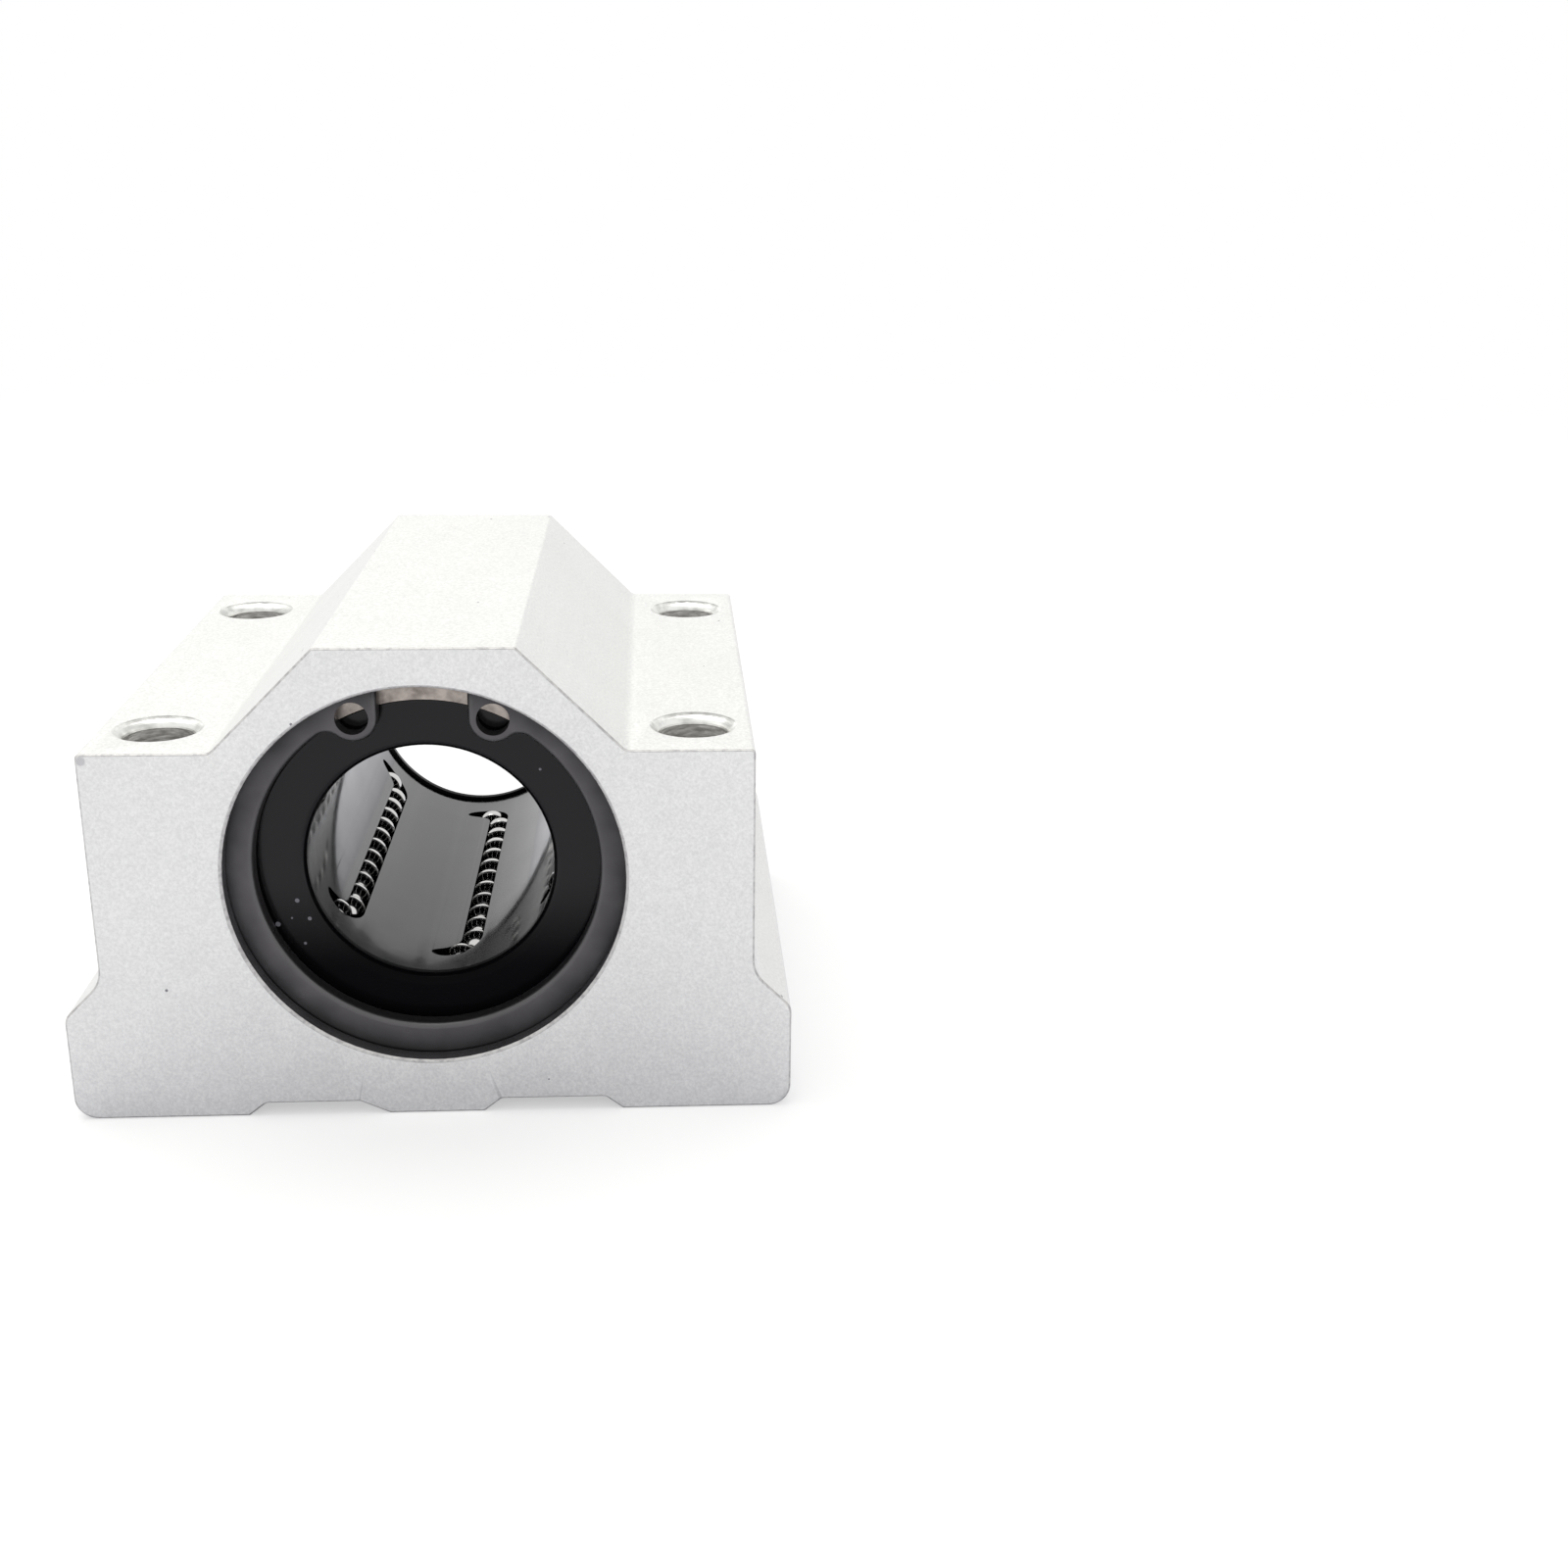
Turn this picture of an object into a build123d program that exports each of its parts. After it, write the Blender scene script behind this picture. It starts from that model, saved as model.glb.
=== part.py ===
from build123d import *

import os
from math import asin, cos, radians, sin, sqrt

# Linear bearing block for a round shaft, in millimetres.
# The origin is at the middle of the base. X runs across the block, Y runs along the bore
# towards the rear end, and Z is up.

# Housing, an extrusion cut to length. A wing stands out from each side of the body at the foot.
height = 50.0
length = 67.0
bore_height = 26.0
body_width = 66.0
wing_reach = 3.9
shoulder_height = 39.5
top_width = 19.4
wing_height = 11.4
end_edge_break = 0.2

# Corners of the extrusion
base_corner_radius = 2.3
wing_corner_radius = 1.8
wing_root_radius = 3.5
shoulder_corner_radius = 0.5
shoulder_root_radius = 1.2
top_corner_radius = 0.4

# Underside: two outer feet, one middle foot and a shallow groove between them
outer_foot_inner_edge = 19.3
middle_foot_width = 9.8
groove_depth = 1.4
groove_outer_run = 1.8
groove_left_run = 3.0
groove_right_run = 1.8
groove_roof_radius = 0.8

# Upright holes: open from the top, tapped from the base
hole_spacing_across = 54.0
hole_spacing_along = 50.0
hole_diameter = 6.8
countersink_diameter = 9.0
thread_diameter = 8.0
thread_depth = 18.0
thread_lead_in = 0.5
thread_run_out = 0.6

# Bearing sleeve
sleeve_diameter = 40.0
sleeve_length = 59.0
sleeve_edge_break = 0.4
sleeve_groove_diameter = 38.0
sleeve_groove_width = 1.85
sleeve_groove_span = 41.1
sleeve_end_recess_diameter = 35.4
sleeve_end_recess_depth = 3.6
sleeve_turn_diameter = 34.6
land_length = 36.8

# Balls and the shaft that they carry
shaft_diameter = 25.0
ball_diameter = 3.572
shaft_play = 0.005
land_play = 0.008
circuits = 6
first_row_angle = -12.8
return_row_turn = 24.0
return_row_radius = 15.35
balls_in_row = 11
ball_gap = 0.012
track_play = 0.044

# Cage
cage_bore_diameter = 25.9
cage_length = 51.9
cage_land_play = 0.07
cage_turn_play = 0.1
cage_ramp_play = 0.2
cage_edge_break = 0.3
cage_nose_diameter = 30.6
cage_nose_lead_in = 0.5
cage_nose_play = 0.1

# Seals
seal_lip_diameter = 25.1
seal_lip_land = 0.6
seal_rim_radius = 1.0
seal_face_setback = 0.5
seal_thickness = 1.75
seal_play = 0.05
seal_corner_radius = 0.25

# Wire ring between each seal and the cage
cage_ring_thickness = 0.9
cage_ring_inner_diameter = 31.2
cage_ring_groove_depth = 0.5
cage_ring_gap = 3.0
cage_ring_play = 0.05
cage_ring_setback = 2.4

# Snap rings that hold the sleeve in the bore
bore_play = 0.02
bore_edge_break = 0.3
snap_ring_thickness = 1.75
snap_ring_groove_diameter = 42.5
snap_ring_play = 0.05
snap_ring_side_play = 0.1
snap_ring_inner_radius = 17.35
snap_ring_inner_rise = 0.45
snap_ring_gap = 8.8
lug_angle = 23.0
lug_hole_radius_from_axis = 17.6
lug_hole_diameter = 3.3
lug_root_radius = 1.6
snap_ring_edge_radius = 0.6
front_snap_ring_turn = 0.8

# Worked out from the sizes above
half_length = length / 2
half_body = body_width / 2
half_width = half_body + wing_reach
half_top = top_width / 2
half_foot = middle_foot_width / 2
bore_radius = sleeve_diameter / 2 + bore_play
ball_radius = ball_diameter / 2
load_row_radius = shaft_diameter / 2 + shaft_play + ball_radius
land_radius = load_row_radius + ball_radius + land_play
track_radius = ball_radius + track_play
ball_pitch = ball_diameter + ball_gap
slot_reach = sleeve_diameter / 4
row_end = ball_pitch * (balls_in_row - 1) / 2
cage_radius = land_radius - cage_land_play
collar_radius = sleeve_turn_diameter / 2 - cage_turn_play
sleeve_end = sleeve_length / 2
cage_end = cage_length / 2
seal_face = sleeve_end - seal_face_setback
seal_back = seal_face - seal_thickness
cage_ring_outside = sleeve_end - cage_ring_setback
cage_ring_inside = cage_ring_outside - cage_ring_thickness
snap_ring_inside = sleeve_end + snap_ring_side_play
snap_ring_outside = snap_ring_inside + snap_ring_thickness
snap_ring_groove_radius = snap_ring_groove_diameter / 2


def along_bore(points, radii=0):
    """Solid of revolution round the bore's axis. Each point is (radius, place along the bore)."""
    outline = FilletPolyline(*points, radius=radii, close=True)
    return revolve(make_face(Plane.XY * outline), Axis.Y)


def bore_cylinder(radius, across, up, start, end):
    """Cylinder along the bore from start to end, with its axis off the bore's axis."""
    upright = Cylinder(radius, end - start, align=(Align.CENTER, Align.CENTER, Align.MIN))
    return Pos(across, start, up) * Rotation(-90, 0, 0) * upright


def turned_about_bore(shape, angle):
    """The shape turned clockwise, as seen from the front end, about the bore's axis."""
    return shape.rotate(Axis.Y, angle)


def both_ends(points):
    """An outline at the rear end with its mirror image at the front end, in order round a closed loop."""
    return points + [(radius, -place) for radius, place in reversed(points)]


def on_bore_axis(shape):
    """The shape moved from the bore's own frame to its place in the block."""
    return Pos(0, 0, bore_height) * shape


def housing_outline():
    """Outline of the extrusion from its right middle foot round to its left one, as (across, up, radius)."""
    wing_root_height = wing_height + wing_reach
    slope_foot = half_top + height - shoulder_height
    outer_roof = outer_foot_inner_edge - groove_outer_run
    side = [
        (outer_roof, groove_depth, groove_roof_radius),
        (outer_foot_inner_edge, 0, 0),
        (half_width, 0, base_corner_radius),
        (half_width, wing_height, wing_corner_radius),
        (half_body, wing_root_height, wing_root_radius),
        (half_body, shoulder_height, shoulder_corner_radius),
        (slope_foot, shoulder_height, shoulder_root_radius),
        (half_top, height, top_corner_radius),
    ]
    right_foot = [(half_foot, 0, 0), (half_foot + groove_right_run, groove_depth, groove_roof_radius)]
    left_foot = [(-half_foot - groove_left_run, groove_depth, groove_roof_radius), (-half_foot, 0, 0)]
    return right_foot + side + [(-across, up, radius) for across, up, radius in reversed(side)] + left_foot


def upright_hole():
    """Cutter for one upright hole, standing on the base."""
    hole = hole_diameter / 2
    thread = thread_diameter / 2
    sink = countersink_diameter / 2
    over = 1.0
    points = [
        (0, -over),
        (thread + thread_lead_in + over, -over),
        (thread, thread_lead_in),
        (thread, thread_depth),
        (hole, thread_depth + thread_run_out),
        (hole, shoulder_height - (sink - hole)),
        (sink + over, shoulder_height + over),
        (0, shoulder_height + over),
    ]
    return revolve(make_face(Plane.XZ * Polyline(*points, close=True)), Axis.Z)


def bearing_bore():
    """Cutter for the bore, with its end chamfers and the two snap ring grooves."""
    over = 1.0
    groove_inside = snap_ring_inside - snap_ring_play
    groove_outside = snap_ring_outside + snap_ring_play
    rear = [
        (bore_radius, groove_inside),
        (snap_ring_groove_radius, groove_inside),
        (snap_ring_groove_radius, groove_outside),
        (bore_radius, groove_outside),
        (bore_radius, half_length - bore_edge_break),
        (bore_radius + bore_edge_break + over, half_length + over),
        (0, half_length + over),
    ]
    return along_bore(both_ends(rear))


def make_housing():
    outline = housing_outline()
    points = [(across, up) for across, up, _ in outline]
    section = make_face(Plane.XZ * FilletPolyline(*points, radius=[r for _, _, r in outline], close=True))
    block = extrude(section, half_length, both=True)
    ends = block.edges().filter_by_position(Axis.Y, -half_length, -half_length)
    ends += block.edges().filter_by_position(Axis.Y, half_length, half_length)
    block = chamfer(ends, end_edge_break)
    block -= on_bore_axis(bearing_bore())
    for across in (-1, 1):
        for along in (-1, 1):
            place = Pos(across * hole_spacing_across / 2, along * hole_spacing_along / 2, 0)
            block -= place * upright_hole()
    return block


def row_angle(circuit):
    """Angle of a circuit's load row from the top of the bore, clockwise as seen from the front."""
    return first_row_angle + 360 / circuits * circuit


def make_sleeve():
    outside = sleeve_diameter / 2
    groove = sleeve_groove_diameter / 2
    recess = sleeve_end_recess_diameter / 2
    turn = sleeve_turn_diameter / 2
    recess_end = sleeve_end - sleeve_end_recess_depth
    ring_groove = recess + cage_ring_groove_depth
    half_span = sleeve_groove_span / 2
    half_land = land_length / 2
    rear = [
        (outside, half_span - sleeve_groove_width),
        (groove, half_span - sleeve_groove_width),
        (groove, half_span),
        (outside, half_span),
        (outside, sleeve_end - sleeve_edge_break),
        (outside - sleeve_edge_break, sleeve_end),
        (recess, sleeve_end),
        (recess, cage_ring_outside + cage_ring_play),
        (ring_groove, cage_ring_outside + cage_ring_play),
        (ring_groove, cage_ring_inside - cage_ring_play),
        (recess, cage_ring_inside - cage_ring_play),
        (recess, recess_end),
        (turn, recess_end),
        (turn, half_land + turn - land_radius),
        (land_radius, half_land),
    ]
    sleeve = along_bore(both_ends(rear))
    relief = bore_cylinder(track_radius + track_play, 0, return_row_radius, -cage_end, cage_end)
    for circuit in range(circuits):
        sleeve -= turned_about_bore(relief, row_angle(circuit) + return_row_turn)
    return on_bore_axis(sleeve)


def turn_plane():
    """Plane of the rear turn of the circuit whose load row is at the top.

    The turn joins the two rows by a half circle that leans outwards from the load row to the
    return row. The plane's X runs from the load row to the return row and its Y along the bore.
    """
    lean = radians(return_row_turn)
    load = Vector(0, turn_start(), load_row_radius)
    back = Vector(return_row_radius * sin(lean), turn_start(), return_row_radius * cos(lean))
    across = back - load
    return Plane(origin=(load + back) / 2, x_dir=across, z_dir=across.cross(Vector(0, 1, 0)))


def turn_radius():
    """Half the distance between a load row and its return row."""
    lean = radians(return_row_turn)
    reach = load_row_radius**2 + return_row_radius**2
    return sqrt(reach - 2 * load_row_radius * return_row_radius * cos(lean)) / 2


def turn_ball_angle():
    """Angle of the two turn balls from the middle of the turn, which puts them one pitch apart."""
    return asin(ball_pitch / 2 / turn_radius())


def turn_start():
    """Where the rows end and the turns start, so that the turn balls lie one pitch from the row."""
    side_step = turn_radius() * (1 - sin(turn_ball_angle()))
    forward = sqrt(ball_pitch**2 - side_step**2)
    return row_end + forward - turn_radius() * cos(turn_ball_angle())


def turn_channel():
    """Cutter for the rear turn of the top circuit: half a ring, open outwards."""
    plane = turn_plane()
    radius = turn_radius()
    half_ring = Torus(radius, track_radius, major_angle=180, align=None)
    opening = Cylinder(radius + track_radius, slot_reach, arc_size=180, align=None)
    opening -= Cylinder(radius - track_radius, 2 * slot_reach)
    return plane * half_ring, plane * opening


def row_channel(radius_from_axis):
    """Cutter for a straight row at the top of the bearing: round at the bottom, open outwards."""
    end = turn_start()
    tube = bore_cylinder(track_radius, 0, radius_from_axis, -end, end)
    slot = Box(2 * track_radius, 2 * end, slot_reach, align=(Align.CENTER, Align.CENTER, Align.MIN))
    return tube, Pos(0, 0, radius_from_axis) * slot


def circuit_channel():
    """The cutters for the whole track of the circuit whose load row is at the top."""
    cutters = list(row_channel(load_row_radius))
    cutters += [turned_about_bore(c, return_row_turn) for c in row_channel(return_row_radius)]
    rear = list(turn_channel())
    front = [mirror(c, Plane.XZ) for c in rear]
    return cutters + rear + front


def make_cage():
    """The cage, with a collar round its turns and a nose through the wire ring at each end."""
    bore = cage_bore_diameter / 2
    nose = cage_nose_diameter / 2
    nose_end = seal_back - cage_nose_play
    ramp_start = land_length / 2 + cage_ramp_play
    rear = [
        (cage_radius, ramp_start),
        (collar_radius, ramp_start + collar_radius - cage_radius),
        (collar_radius, cage_end - cage_edge_break),
        (collar_radius - cage_edge_break, cage_end),
        (nose, cage_end),
        (nose, nose_end),
        (bore + cage_nose_lead_in, nose_end),
        (bore, nose_end - cage_nose_lead_in),
    ]
    cage = along_bore(both_ends(rear))
    channel = circuit_channel()
    for circuit in range(circuits):
        for cutter in channel:
            cage -= turned_about_bore(cutter, row_angle(circuit))
    return on_bore_axis(cage)


def ball_at(place):
    return Pos(place) * Sphere(ball_radius)


def row_balls(radius_from_axis):
    places = [-row_end + ball_pitch * step for step in range(balls_in_row)]
    return [ball_at(Vector(0, place, radius_from_axis)) for place in places]


def turn_balls():
    plane = turn_plane()
    radius = turn_radius()
    swing = turn_ball_angle()
    rear = []
    for side in (-1, 1):
        local = Vector(side * radius * sin(swing), radius * cos(swing), 0)
        rear.append(plane.from_local_coords(local))
    return [ball_at(p) for p in rear] + [ball_at(Vector(p.X, -p.Y, p.Z)) for p in rear]


def make_balls(circuit, loaded):
    """The balls of one circuit that carry load, or those that are on their way back."""
    if loaded:
        balls = row_balls(load_row_radius)
    else:
        balls = [turned_about_bore(ball, return_row_turn) for ball in row_balls(return_row_radius)]
        balls += turn_balls()
    placed = [on_bore_axis(turned_about_bore(ball, row_angle(circuit))) for ball in balls]
    return Compound(children=[ball.solid() for ball in placed])


def make_seal():
    """The rear seal: a flat disc with a rounded rim that ends in the lip."""
    lip = seal_lip_diameter / 2
    outside = sleeve_end_recess_diameter / 2 - seal_play
    rim = seal_face - seal_rim_radius
    lip_back = rim - seal_lip_land
    points = [
        (outside, seal_back),
        (outside, seal_face),
        (lip, seal_face),
        (lip, lip_back),
        (lip + seal_rim_radius, seal_back),
    ]
    radii = [0, seal_corner_radius, seal_rim_radius, 0, 0]
    return on_bore_axis(along_bore(points, radii))


def make_cage_ring():
    outside = sleeve_end_recess_diameter / 2 + cage_ring_groove_depth - cage_ring_play
    inside = cage_ring_inner_diameter / 2
    points = [
        (inside, cage_ring_inside),
        (outside, cage_ring_inside),
        (outside, cage_ring_outside),
        (inside, cage_ring_outside),
    ]
    ring = along_bore(points)
    ring -= Pos(0, cage_ring_inside, 0) * Box(
        cage_ring_gap, sleeve_length, sleeve_diameter, align=(Align.CENTER, Align.CENTER, Align.MIN)
    )
    return on_bore_axis(ring)


def snap_ring_outline():
    """Flat outline of a snap ring: it thins towards its two lugs, with a gap between them at the top."""
    outside = snap_ring_groove_radius - snap_ring_play
    swing = radians(lug_angle)
    lug_across = lug_hole_radius_from_axis * sin(swing)
    lug_up = lug_hole_radius_from_axis * cos(swing)
    lug_radius = lug_across - snap_ring_gap / 2
    ring = Circle(outside) - Pos(0, snap_ring_inner_rise) * Circle(snap_ring_inner_radius)
    for side in (-1, 1):
        ring += Pos(side * lug_across, lug_up) * Circle(lug_radius)
        neck = Pos(side * lug_across, lug_up) * Rectangle(
            2 * lug_radius, outside, align=(Align.CENTER, Align.MIN)
        )
        ring += neck & Circle(outside)
    gap = Rectangle(snap_ring_gap, outside, align=(Align.CENTER, Align.MIN))
    ring -= Pos(0, lug_up - lug_radius) * gap
    roots = ring.vertices().filter_by(lambda v: abs(v.X) > lug_across and v.Y < lug_up)
    ring = fillet(roots, lug_root_radius)
    holes = [Pos(side * lug_across, lug_up) * Circle(lug_hole_diameter / 2) for side in (-1, 1)]
    return ring - holes


def make_snap_ring(turn):
    """The rear snap ring, whose stamped edge is rolled over on the side that faces out."""
    ring = extrude(Plane.XZ * snap_ring_outline(), -snap_ring_thickness)
    rim = ring.faces().sort_by(Axis.Y)[-1].outer_wire().edges()
    outer_arcs = rim.filter_by(GeomType.CIRCLE).group_by(SortBy.RADIUS)[-1]
    ring = fillet(rim - outer_arcs, snap_ring_edge_radius)
    ring = turned_about_bore(Pos(0, snap_ring_inside, 0) * ring, turn)
    return on_bore_axis(ring)


def front_twin(rear):
    return mirror(rear, Plane.XZ)


def main():
    os.makedirs("parts", exist_ok=True)
    seal = make_seal()
    cage_ring = make_cage_ring()
    pieces = {
        "housing": make_housing(),
        "bearing_sleeve": make_sleeve(),
        "ball_cage": make_cage(),
        "front_seal": front_twin(seal),
        "rear_seal": seal,
        "front_cage_ring": front_twin(cage_ring),
        "rear_cage_ring": cage_ring,
        "front_snap_ring": front_twin(make_snap_ring(front_snap_ring_turn)),
        "rear_snap_ring": make_snap_ring(0),
    }
    for circuit in range(circuits):
        pieces[f"load_balls_{circuit + 1}"] = make_balls(circuit, True)
        pieces[f"return_balls_{circuit + 1}"] = make_balls(circuit, False)
    for name, piece in pieces.items():
        export_step(piece, f"parts/{name}.step")


main()
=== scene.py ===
import math

import bmesh
import bpy
from mathutils import Matrix, Vector


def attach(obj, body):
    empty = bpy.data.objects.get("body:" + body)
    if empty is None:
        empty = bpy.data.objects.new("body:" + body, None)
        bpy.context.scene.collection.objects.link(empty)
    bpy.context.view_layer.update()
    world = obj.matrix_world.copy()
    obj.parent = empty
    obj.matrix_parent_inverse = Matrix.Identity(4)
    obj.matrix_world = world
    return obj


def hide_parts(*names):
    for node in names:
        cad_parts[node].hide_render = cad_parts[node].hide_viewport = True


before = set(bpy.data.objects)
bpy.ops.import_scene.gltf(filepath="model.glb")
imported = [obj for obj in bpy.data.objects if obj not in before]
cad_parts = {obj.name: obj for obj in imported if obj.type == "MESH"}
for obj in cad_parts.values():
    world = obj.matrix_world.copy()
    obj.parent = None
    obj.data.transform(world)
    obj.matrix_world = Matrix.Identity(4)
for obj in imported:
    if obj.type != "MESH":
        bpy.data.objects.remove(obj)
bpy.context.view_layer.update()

# Linear bearing block in metres, in the CAD's own frame: X across, Y along the bore, Z up.
# The front end faces -Y.
MM = 0.001

# Places and sizes that the finishes and the small repeated shapes follow
BORE_HEIGHT = 26 * MM
HALF_LENGTH = 33.5 * MM
EDGE_BREAK = 0.3 * MM
HOLE_ACROSS = 27 * MM
HOLE_ALONG = 25 * MM
SHOULDER_HEIGHT = 39.5 * MM
COUNTERSINK_DEPTH = 1.1 * MM
COUNTERSINK_RADIUS = 4.5 * MM
HOLE_REACH = 5 * MM
THREAD_RADIUS = 4.0 * MM
THREAD_CREST_RADIUS = 3.4 * MM
THREAD_PITCH = 1.25 * MM
THREAD_START = 0.55 * MM
THREAD_END = 17.9 * MM
BALL_RADIUS = 1.786 * MM
GROOVE_RADIUS = 21.5 * MM
LIP_START = 31.4 * MM
RING_INNER_RADIUS = 17.6 * MM
RING_SEEN_RADIUS = 20.0 * MM

# Marks on the front end: a scuff on the shoulder's corner, and on the seal specks of dust and painted glints,
# which are thick within the first radius and gone past the second
SCUFF_PLACE = Vector((-32.4, -33.5, 38.85)) * MM
SCUFF_RADIUS = 0.35 * MM
DUST_GLINT_PLACE = Vector((-12, -29, 17)) * MM
DUST_GLINT_THICK = 4 * MM
DUST_GLINT_GONE = 9 * MM

# The seal's reflection is painted shade below the first height, and grows to full by the second
SEAL_SHADED_HEIGHT = 14 * MM
SEAL_UNSHADED_HEIGHT = 25 * MM

# The axes that round faces are turned about, each with how far from it they lie
ROUND_AXES = [(Vector((0, 0, BORE_HEIGHT)), Vector((0, 1, 0)), GROOVE_RADIUS)]
ROUND_AXES += [(Vector((x * HOLE_ACROSS, y * HOLE_ALONG, 0)), Vector((0, 0, 1)), HOLE_REACH)
               for x in (-1, 1) for y in (-1, 1)]

# A face is on a hole's wall if it points at the axis to within this
NEARLY_ROUND = math.cos(math.radians(8))

# The part of a face's normal that lies across the axis: less than the first on an end face, less than the
# second on a shallow cone, and more than the third on a straight wall
END_FACE = 0.1
SHALLOW_CONE = 0.2
STRAIGHT_WALL = 0.9999

# Points closer to the axis than this have no way to turn
ON_AXIS = 0.1 * MM

# A face whose middle is farther than this from the top, the base or an end isn't part of it, and one whose
# normal has less than this along the bore isn't an end face
OFF_LEVEL = 0.02 * MM
OFF_END = 0.01 * MM
FACES_END = 0.9

# Edges sharper than this stay sharp, and points closer than this are one
SHARP_ANGLE = math.radians(36)
SAME_POINT = 0.0005 * MM
NO_LENGTH = 0.0001 * MM

# A snap ring's outline is rolled over where its normal leans this much towards the flats
ROLL_START = 0.2

# A thread's ridge at its foot and at its crest, in pitches
THREAD_FOOT_WIDTH = 0.88
THREAD_CREST_WIDTH = 0.24

# The floor, the distances over which it fades to white, and those over which its bounced light grows
FLOOR_HALF = 3.0
FLOOR_DROP = 0.02 * MM
FADE_START = 50 * MM
FADE_END = 600 * MM
BOUNCE_START = 48 * MM
BOUNCE_END = 72 * MM

# The soft lamp, high behind the block and to its left
LAMP_PLACE = Vector((-0.2, 0.12, 0.9))
LAMP_TARGET = Vector((0, 0, 0.02))
LAMP_SIZE = 0.7
LAMP_POWER = 3.5

# The camera stands where a fit of the block's edges to the photograph puts it: 234 mm from the middle
# of the base and 25 degrees above it
CAMERA_PLACE = Vector((23.464, -211.363, 97.152)) * MM
CAMERA_FORWARD = Vector((0.06546, 0.94342, -0.32506))
CAMERA_UP = Vector((0.00936, 0.32517, 0.94561))
CAMERA_LENS = 43.5


def linear(colour):
    """An sRGB hex colour as linear red, green, blue and alpha."""
    parts = [int(colour[i:i + 2], 16) / 255 for i in (1, 3, 5)]
    return [c / 12.92 if c <= 0.04045 else ((c + 0.055) / 1.055) ** 2.4 for c in parts] + [1]


def add(tree, kind, settings=None, **sockets):
    """Adds a node. A socket goes by its name, or by i and its number. Its value is a number, a colour, or a
    pair of node and output to link from."""
    node = tree.nodes.new(kind)
    for name, value in (settings or {}).items():
        setattr(node, name, value)
    for name, value in sockets.items():
        key = int(name[1:]) if name[0] == "i" and name[1:].isdigit() else name.replace("_", " ")
        if isinstance(value, tuple):
            tree.links.new(value[0].outputs[value[1]], node.inputs[key])
        else:
            node.inputs[key].default_value = value
    return node


def new_material(name):
    """A material with an empty tree, and that tree."""
    material = bpy.data.materials.new(name)
    material.use_nodes = True
    material.node_tree.nodes.clear()
    return material, material.node_tree


def finish(tree, **sockets):
    """The Principled shader and the output at the end of a surface's tree."""
    shader = add(tree, "ShaderNodeBsdfPrincipled", None, **sockets)
    add(tree, "ShaderNodeOutputMaterial", None, Surface=(shader, "BSDF"))


def bead_blasted_aluminium():
    """Extruded aluminium, bead blasted and clear anodised: pale and matt, fine grained, with a few pits."""
    material, tree = new_material("bead_blasted_anodised_aluminium")
    place = add(tree, "ShaderNodeTexCoord")
    # The beads leave dimples of about 0.1 mm. They are drawn at 0.3 mm so that they show.
    grain = add(tree, "ShaderNodeTexNoise", {}, Vector=(place, "Object"), Scale=1 / (0.3 * MM), Detail=2.0,
                Roughness=0.7)
    cloud = add(tree, "ShaderNodeTexNoise", {}, Vector=(place, "Object"), Scale=1 / (9 * MM), Detail=2.0)
    # Lines of the extrusion die, about 1 mm apart and half blasted away
    drawn = add(tree, "ShaderNodeMapping", {}, Vector=(place, "Object"),
                Scale=Vector((1 / MM, 0.02 / MM, 1 / MM)))
    die_lines = add(tree, "ShaderNodeTexNoise", {}, Vector=(drawn, 0), Scale=1.0, Detail=2.0)
    uneven = add(tree, "ShaderNodeMix", {"data_type": "FLOAT"}, Factor=0.4, i2=(cloud, "Fac"),
                 i3=(die_lines, "Fac"))
    tone = add(tree, "ShaderNodeMix", {"data_type": "RGBA"}, Factor=(uneven, 0),
               i6=linear("#E6E6E4"), i7=linear("#F0F0EE"))
    speckle = add(tree, "ShaderNodeMapRange", {}, Value=(grain, "Fac"), From_Min=0.28, From_Max=0.72,
                  To_Min=0.86, To_Max=1.05)
    toned = add(tree, "ShaderNodeMix", {"data_type": "RGBA", "blend_type": "MULTIPLY"}, Factor=1.0,
                i6=(tone, 2), i7=(speckle, "Result"))
    # Pits of up to 0.4 mm. About one to five square centimetres is wide enough to show.
    cells = add(tree, "ShaderNodeTexVoronoi", {}, Vector=(place, "Object"), Scale=1 / (2.4 * MM))
    chosen = add(tree, "ShaderNodeSeparateColor", {}, Color=(cells, "Color"))
    pit_size = add(tree, "ShaderNodeMapRange", {}, Value=(chosen, "Red"), From_Min=0.75, From_Max=1.0,
                   To_Min=0.0, To_Max=0.085)
    pit = add(tree, "ShaderNodeMath", {"operation": "LESS_THAN"}, i0=(cells, "Distance"),
              i1=(pit_size, "Result"))
    pitted = add(tree, "ShaderNodeMix", {"data_type": "RGBA"}, Factor=(pit, 0),
                 i6=(toned, 2), i7=linear("#8B898C"))
    # A scuff on the front end's left shoulder corner, only a little darker than the metal round it
    away = add(tree, "ShaderNodeVectorMath", {"operation": "DISTANCE"}, i0=(place, "Object"), i1=SCUFF_PLACE)
    scuff = add(tree, "ShaderNodeMapRange", {"interpolation_type": "SMOOTHSTEP"}, Value=(away, "Value"),
                From_Min=SCUFF_RADIUS, From_Max=1.6 * SCUFF_RADIUS, To_Min=1.0, To_Max=0.0)
    scuffed = add(tree, "ShaderNodeMix", {"data_type": "RGBA"}, Factor=(scuff, "Result"),
                  i6=(pitted, 2), i7=linear("#C8C7C8"))
    roughness = add(tree, "ShaderNodeMapRange", {}, Value=(grain, "Fac"), From_Min=0.3, From_Max=0.7,
                    To_Min=0.5, To_Max=0.62)
    bump = add(tree, "ShaderNodeBump", {}, Strength=0.5, Distance=0.04 * MM, Height=(grain, "Fac"))
    finish(tree, Base_Color=(scuffed, 2), Metallic=1.0, Roughness=(roughness, "Result"),
           Normal=(bump, "Normal"))
    return material


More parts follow.
